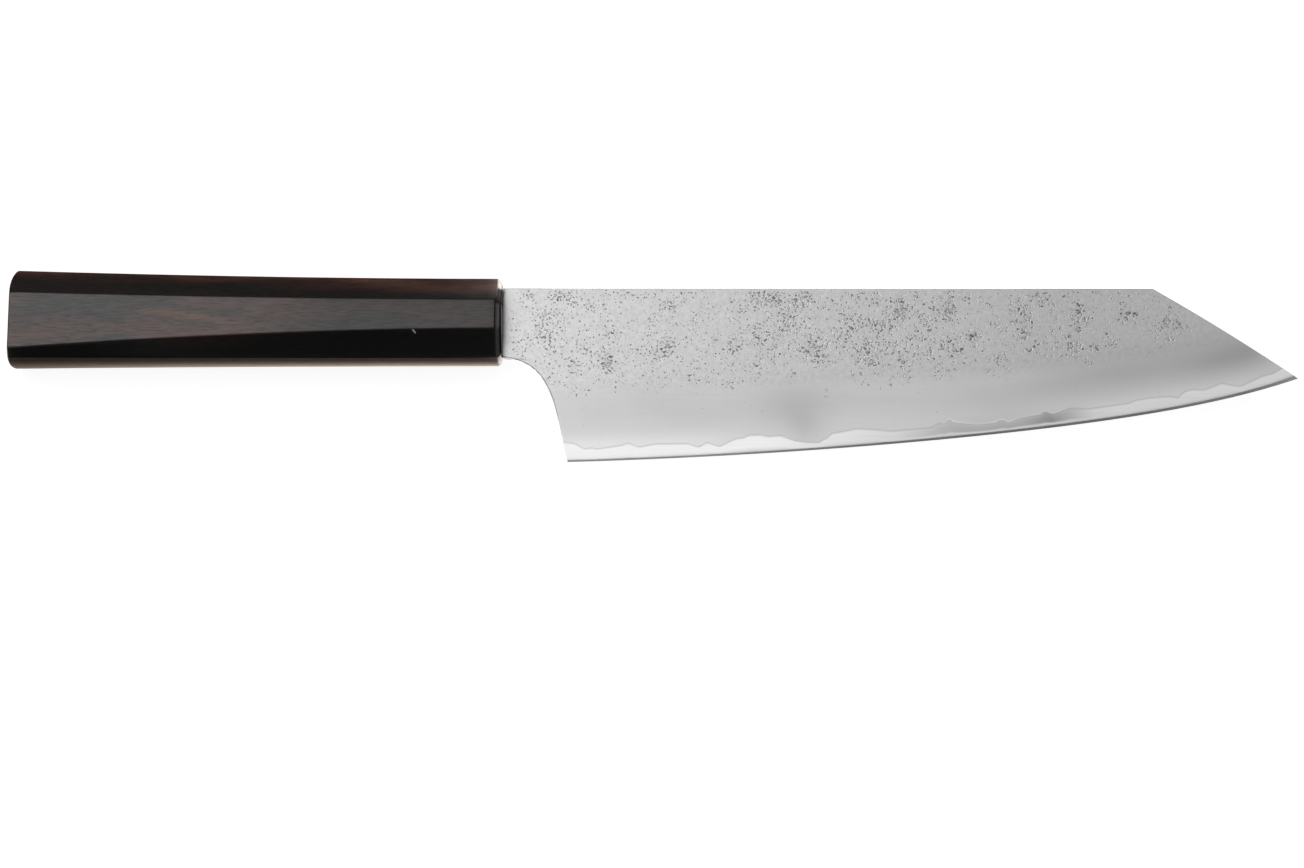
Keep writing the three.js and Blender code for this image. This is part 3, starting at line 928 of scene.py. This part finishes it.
# The figure's patches, streaks and pores: lean in degrees, a cell's millimetres, and detail.
figure = []
for lean, cell, detail in (
    (6, (31.25, 7.143, 7.143), 2.0),
    (6, (22.22, 3.0303, 3.0303), 3.0),
    (0, (3.0303, 0.33333, 0.33333), 3.0),
):
    turn = (0, 0, np.radians(lean))
    drawn = add(tree, "Mapping", {"Vector": place, "Rotation": turn, "Scale": repeats(*cell)})
    figure.append(add(tree, "TexNoise", {"Vector": drawn, "Scale": 1.0, "Detail": detail}))
patches, streaks, pores = figure

# One orange streak of the figure and one pale fleck, each a ball of a gradient drawn out along its length:
# middle, lean in degrees, and reach each way, in metres.
marks = []
for middle_at, lean, reach in (
    ((-0.1229, 0.0115, 0.0212), -7.3, (0.017, 0.0015, 0.004)),
    ((-0.0628, 0.00735, 0.0209), -45, (0.0008, 0.00027, 0.002)),
):
    settings = {"Vector": place, "Location": middle_at, "Rotation": (0, 0, np.radians(lean)), "Scale": reach}
    drawn = add(tree, "Mapping", settings, vector_type="TEXTURE")
    marks.append(add(tree, "TexGradient", {"Vector": drawn}, out=1, gradient_type="SPHERICAL"))
ember, nick = marks

red = layered(
    tree, linear("#141310"),
    (patches, 0.42, 0.62, 1.0, "#4a2c25"),
    (streaks, 0.58, 0.78, 0.6, "#4e3427"),
    (ember, 0.0, 1.0, 0.6, "#7a4a2a"),
)
brown = layered(tree, linear("#42291f"), (streaks, 0.35, 0.65, 1.0, "#7a4e3f"))
dark = add(tree, "Mix", {0: heart, 6: linear("#0c0b0a"), 7: red}, out=2, data_type="RGBA")
colour = layered(
    # Warm brown at the front, with a painted highlight along the top.
    tree, add(tree, "Mix", {0: warm, 6: dark, 7: brown}, out=2, data_type="RGBA"),
    (pores, 0.54, 0.70, 0.7, "#080706"),
    # Painted shade: darker wood where the gloss is taken off.
    (worn, 0.0, 1.0, 1.0, "#090807"),
    (nick, 0.0, 0.3, 1.0, "#b8b0a6"),
)
gloss = add(tree, "MapRange", {0: pores, 1: 0.34, 2: 0.66, 3: 0.5, 4: 0.13})
gloss = add(tree, "Mix", {0: worn, 2: gloss, 3: 0.0})
sheen = add(tree, "MapRange", {0: worn, 3: 0.5, 4: 0.08})
rough = add(tree, "MapRange", {0: patches, 1: 0.3, 2: 0.7, 3: 0.30, 4: 0.36})
matt = add(tree, "MapRange", {0: worn, 1: 0.6, 2: 1.0})
rough = add(tree, "Mix", {0: matt, 2: rough, 3: 0.9})
surface = add(tree, "BsdfPrincipled", {
    "Base Color": colour, "Roughness": rough, "IOR": 1.5, "Specular IOR Level": sheen,
    "Coat Weight": gloss, "Coat Roughness": 0.28,
})
add(tree, "OutputMaterial", {"Surface": surface})

points = body.reshape(-1, 3)
handle = make_piece("handle_dressed", points, faces, handle_wood, "handle_body")

# Heartwood shows on the side flats, less towards the front and hardly on the upper bevels, and a reddish
# streak lies on the lower bevel. The upper bevels are warm brown at the front, and lighter along the top as a
# painted highlight.
x, y = points[:, :2].T
above_top, above_upper, above_lower, above_bottom = (y[:, None] - handle_corners(x)[0][:, :4, 0]).T
heart = ramp(above_lower, -0.4, 0.4) * (1 - 0.85 * ramp(above_upper, -0.4, 0.4))
heart = heart * (1 - 0.65 * ramp(x, -75, -35))
# A reddish streak on the lower bevel.
heart = np.maximum(heart, 0.25 * bell(x, -79, 12) * ramp(above_lower, -3.2, -1.7))
warm = (0.45 * bell(x, 0, 52) + 0.55 * bell(x, 0, 14)) * ramp(above_upper, 0.8, 4.4)
# A painted highlight along the top of the upper bevels.
top_rim = (0.45 + 0.3 * ramp(x, -95, -65)) * ramp(above_top, -4.2, 0)

# Painted shade, which darkens the wood and takes its gloss off: on the chamfer's steps, beside the blade
# below its spine where the blade keeps the light off, at the foot of the upper bevel, on the lower bevel and
# under the upper ridge, all of them more towards the front.
above_spine = ramp(ring_y, -2, -0.8)
over_ridge = rings[:, :, 0] - upper_ridge
forward = ring_x[:, None]
stepped = np.append(np.zeros(len(ring_x) - len(chamfer_x)), chamfer_dull)[:, None]
# Painted shade beside the blade below its spine, where the blade keeps the light off.
by_blade = ramp(over_ridge, -1.6, -0.8) * (1 - above_spine) * (forward > 0.3 - FRONT_ROUND)
# Painted shade at the foot of the upper bevel near the front.
at_foot = ramp(forward, -10, -1) * ramp(over_ridge, 4.2, 1.7) * ramp(over_ridge, 0, 0.5)
ring_dull = np.max([
    stepped * (1 - np.maximum(above_spine, on_bottom)),
    0.15 * ramp(forward, -72, -42) * (1 - above_spine),
    0.93 * by_blade,
    0.6 * at_foot,
], axis=0)
dull = np.max([
    np.append(ring_dull.ravel(), np.ones(2 * ring_count)),
    0.4 * ramp(above_lower, 0.4, -0.4) * ramp(above_bottom, 0.15, 0.65) * ramp(x, -105, -75),
    0.27 * ramp(above_upper, -4, 0) * ramp(above_upper, 0.4, 0) * ramp(x, -70, -40),
], axis=0)
paint(handle, heart=heart, warm=np.maximum(warm, top_rim), end=dull)


# Table
# A plain white sheet of paper under the knife, wide enough to fill the picture. It glows to the camera and in
# reflections, so that it reads as white without more light on the knife, and keeps a soft shadow.

# Paper: matt and evenly white, with nothing on it but the knife's shadow.
white_paper, tree = new_material("white_paper")
seen = 0.0
for ray in ("Is Camera Ray", "Is Glossy Ray", "Is Transmission Ray"):
    seen = add(tree, "Math", {0: seen, 1: add(tree, "LightPath", out=ray)}, operation="MAXIMUM")
glow = add(tree, "MapRange", {0: seen, 4: 0.92})
paper = add(tree, "BsdfDiffuse", {"Color": linear("#8c8c8c")})
light = add(tree, "Emission", {"Color": linear("#ffffff"), "Strength": glow})
add(tree, "OutputMaterial", {"Surface": add(tree, "AddShader", {0: paper, 1: light})})


def set_sheet(name, corner, along, up, material):
    """A flat rectangle of the stage from one corner and its two sides."""
    corner, along, up = np.array([corner, along, up], float)
    corners = np.array([corner, corner + along, corner + along + up, corner + up])
    mesh = bpy.data.meshes.new(name)
    mesh.from_pydata(corners.tolist(), [], [(0, 1, 2, 3)])
    mesh.materials.append(material)
    sheet = bpy.data.objects.new(name, mesh)
    bpy.context.scene.collection.objects.link(sheet)
    return sheet


TABLE_SIDE = 16.0
table_corner = (-TABLE_SIDE / 2, -TABLE_SIDE / 2, 0)
set_sheet("table", table_corner, (TABLE_SIDE, 0, 0), (0, TABLE_SIDE, 0), white_paper)


# Flags and reflectors
# Sheets of card round the knife that are seen only in its polish. Two dark ones beside the handle keep the
# white table out of its gloss, lit ones give its corners and the blade their highlights, and two grey walls
# stand in front.

# Metres: the cards' lift off the table, their gaps behind and in front of the handle, how far they reach, and
# the handle's own sides.
CARD_LIFT = 0.0005
CARD_GAP = 0.006
FRONT_GAP = 0.018
CARD_DEPTH = 0.6
CARD_PAST_BUTT = 0.15
CARD_SHORT_OF_FRONT = 0.004
FRONT_X = handle_high.x
BACK_Y = handle_high.y
EDGE_Y = handle_low.y
# Strength of the sheet under the handle at its two ends.
GLOW_AT_BUTT = 0.5525
GLOW_AT_FRONT = 1.69


def set_flag(name, corner, along, up, material):
    """A sheet that only reflections show."""
    flag = set_sheet(name, corner, along, up, material)
    flag.visible_camera = False
    flag.visible_diffuse = False
    flag.visible_shadow = False


# Matt card, black behind and grey in front: a dark field for the handle's gloss to fade into.
card_start = handle_low.x - CARD_PAST_BUTT
card_run = (FRONT_X - CARD_SHORT_OF_FRONT - card_start, 0, 0)
for name, code, near, far in (
    ("card_behind", "#050505", BACK_Y + CARD_GAP, BACK_Y + CARD_DEPTH),
    ("card_in_front", "#484848", EDGE_Y - CARD_DEPTH, EDGE_Y - FRONT_GAP),
):
    matt_card, tree = new_material("matt_card")
    add(tree, "OutputMaterial", {"Surface": add(tree, "BsdfDiffuse", {"Color": linear(code)})})
    set_flag(name, (card_start, near, CARD_LIFT), card_run, (0, far - near, 0), matt_card)

# Card lit from the knife's side: a warm glow under the handle, which grows towards the knife by the cube of
# the way, and evenly towards the front.
dim_sheet, tree = new_material("side_lit_card")
place = add(tree, "TexCoord", out="Object")
place_x, place_y = (add(tree, "SeparateXYZ", {0: place}, out=axis) for axis in "XY")
near = add(tree, "MapRange", {0: place_y, 1: EDGE_Y - FRONT_GAP, 2: EDGE_Y - 0.001})
near = add(tree, "Math", {0: near, 1: 3.0}, operation="POWER")
glow = add(tree, "MapRange", {0: place_x, 1: handle_low.x, 2: FRONT_X, 3: GLOW_AT_BUTT, 4: GLOW_AT_FRONT})
glow = add(tree, "Math", {0: near, 1: glow}, operation="MULTIPLY")
light = add(tree, "Emission", {"Color": linear("#ffe3d4"), "Strength": glow})
add(tree, "OutputMaterial", {"Surface": light})
under_start = (handle_low.x - 0.01, EDGE_Y - FRONT_GAP, CARD_LIFT)
under_run = (FRONT_X - 0.0005 - under_start[0], 0, 0)
set_flag("sheet_under", under_start, under_run, (0, FRONT_GAP + 0.004, 0), dim_sheet)

# Card under a lamp of its own: an even glow, which the polish shows as its highlights.
for name, code, strength, corner, along, up in (
    ("sheet_behind", "#fff5f2", 8.0, (FRONT_X + 0.01, 0.03, CARD_LIFT), (0.13, 0, 0), (0, 0.17, 0)),
    ("sheet_at_front", "#fff5f2", 2.6, (FRONT_X + 0.0009, EDGE_Y - 0.0035, CARD_LIFT), (0.0091, 0, 0),
     (0, 0.0075, 0)),
    ("card_at_tip", "#ffffff", 1.0, (0.75, -0.5, 0), (0, 1, 0), (0, 0, 0.45)),
    ("wall_right", "#ffffff", 0.5, (0.2, -1.2, 0.3), (2.2, 0, 0), (0, 0, 1.4)),
    ("wall_left", "#ffffff", 0.5, (-2.4, -1.2, 0.3), (1.88, 0, 0), (0, 0, 1.4)),
):
    lit_card, tree = new_material("lit_card")
    light = add(tree, "Emission", {"Color": linear(code), "Strength": strength})
    add(tree, "OutputMaterial", {"Surface": light})
    set_flag(name, corner, along, up, lit_card)


# Lamps
# Two wide softboxes side by side overhead, set back from the knife: the stronger one over the handle's half,
# the weaker one over the tip's. The room itself is a dim grey.

LAMP_HEIGHT = 1.2
ROOM_LIGHT = 0.05

for name, left, right, near, far, power in (
    ("key_softbox", -1.4, 0.0, -0.3, 1.4, 13.6),
    ("tip_softbox", 0.0, 1.5, 0.05, 1.4, 5.2),
):
    lamp = bpy.data.lights.new(name, "AREA")
    lamp.shape = "RECTANGLE"
    lamp.size = right - left
    lamp.size_y = far - near
    lamp.energy = power
    box = bpy.data.objects.new(name, lamp)
    box.location = ((left + right) / 2, (near + far) / 2, LAMP_HEIGHT)
    bpy.context.scene.collection.objects.link(box)

room = bpy.data.worlds.new("grey_room")
room.use_nodes = True
background = room.node_tree.nodes["Background"].inputs
background["Color"].default_value = linear("#ffffff")
background["Strength"].default_value = ROOM_LIGHT
bpy.context.scene.world = room
bpy.context.scene.view_settings.view_transform = "Standard"


# Camera
# A long lens about a metre above the knife. It looks down on the right face of the blade, leaning a little
# from the edge's side, and takes in the whole length with a narrow margin.

VIEW_TILT = np.radians(13.2)
VIEW_DISTANCE = 0.960
VIEW_WIDTH = 0.3430
VIEW_TARGET = np.array([-0.00047, -0.01791, 0.0106])
lens = bpy.data.cameras.new("camera")
lens.sensor_width = 36
lens.lens = lens.sensor_width * VIEW_DISTANCE / VIEW_WIDTH
camera = bpy.data.objects.new("camera", lens)
camera.location = VIEW_TARGET + VIEW_DISTANCE * np.array([0, -np.sin(VIEW_TILT), np.cos(VIEW_TILT)])
camera.rotation_euler = (VIEW_TILT, 0, 0)
bpy.context.scene.collection.objects.link(camera)
bpy.context.scene.camera = camera
